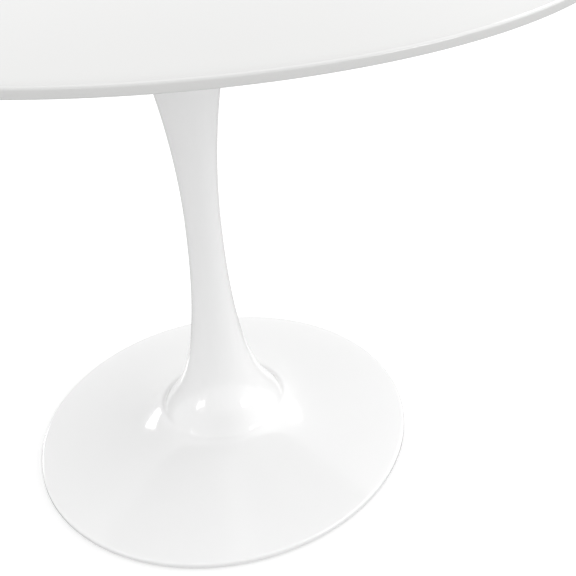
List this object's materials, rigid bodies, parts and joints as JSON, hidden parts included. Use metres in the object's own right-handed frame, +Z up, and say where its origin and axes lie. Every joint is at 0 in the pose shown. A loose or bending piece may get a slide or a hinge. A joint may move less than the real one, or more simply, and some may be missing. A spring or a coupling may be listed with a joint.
{
  "type": "round pedestal table",
  "caption": "Round table top with a thin bevelled edge on a slim flared pedestal that spreads into a wide round base, with levelling glides below.",
  "frame": {"origin": "on the floor under the middle of the table, where the pedestal's axis meets the plane that the glides' soles stand on", "axes": "+Z up along the pedestal's axis; +X and +Y lie along two arms of the mounting spider, and the four glides stand on the diagonals between them"},
  "size_m": [1, 1, 0.737],
  "materials": {
    "top_lacquer": "gloss",
    "pedestal_enamel": "gloss",
    "spider_paint": "satin",
    "zinc_steel": "satin",
    "pad_nylon": "satin",
    "sole_rubber": "matte"
  },
  "bodies": {
    "table": {"table_top": "top_lacquer", "threaded_inserts": "zinc_steel", "spider_screws": "zinc_steel", "spider_washers": "zinc_steel", "mounting_spider": "spider_paint", "pedestal": "pedestal_enamel", "tie_rod": "zinc_steel", "rod_jam_nut": "zinc_steel", "clamp_plate": "zinc_steel", "clamp_washer": "zinc_steel", "clamp_lock_washer": "zinc_steel", "clamp_nut": "zinc_steel"},
    "pad_1": {"glide_pad_1": "pad_nylon", "glide_sole_1": "sole_rubber"},
    "pad_2": {"glide_pad_2": "pad_nylon", "glide_sole_2": "sole_rubber"},
    "pad_3": {"glide_pad_3": "pad_nylon", "glide_sole_3": "sole_rubber"},
    "pad_4": {"glide_pad_4": "pad_nylon", "glide_sole_4": "sole_rubber"},
    "stud_1": {"glide_stud_1": "zinc_steel"},
    "stud_2": {"glide_stud_2": "zinc_steel"},
    "stud_3": {"glide_stud_3": "zinc_steel"},
    "stud_4": {"glide_stud_4": "zinc_steel"}
  },
  "joints": [
    {"name": "glide_1_travel", "type": "slide", "parent": "table", "child": "pad_1", "axis": [0, 0, -1], "range_m": [0, 0.005]},
    {"name": "glide_1_turn", "type": "hinge", "parent": "pad_1", "child": "stud_1", "pos_m": [0.13789, 0.13789, 0.008], "axis": [0, 0, -1], "range_deg": [0, 1440]},
    {"name": "glide_2_travel", "type": "slide", "parent": "table", "child": "pad_2", "axis": [0, 0, -1], "range_m": [0, 0.005]},
    {"name": "glide_2_turn", "type": "hinge", "parent": "pad_2", "child": "stud_2", "pos_m": [-0.13789, 0.13789, 0.008], "axis": [0, 0, -1], "range_deg": [0, 1440]},
    {"name": "glide_3_travel", "type": "slide", "parent": "table", "child": "pad_3", "axis": [0, 0, -1], "range_m": [0, 0.005]},
    {"name": "glide_3_turn", "type": "hinge", "parent": "pad_3", "child": "stud_3", "pos_m": [-0.13789, -0.13789, 0.008], "axis": [0, 0, -1], "range_deg": [0, 1440]},
    {"name": "glide_4_travel", "type": "slide", "parent": "table", "child": "pad_4", "axis": [0, 0, -1], "range_m": [0, 0.005]},
    {"name": "glide_4_turn", "type": "hinge", "parent": "pad_4", "child": "stud_4", "pos_m": [0.13789, -0.13789, 0.008], "axis": [0, 0, -1], "range_deg": [0, 1440]}
  ],
  "couplings": [
    {"joint": "glide_1_turn", "follows": "glide_1_travel", "rad_per_m": 5026.5},
    {"joint": "glide_2_turn", "follows": "glide_2_travel", "rad_per_m": 5026.5},
    {"joint": "glide_3_turn", "follows": "glide_3_travel", "rad_per_m": 5026.5},
    {"joint": "glide_4_turn", "follows": "glide_4_travel", "rad_per_m": 5026.5}
  ]
}
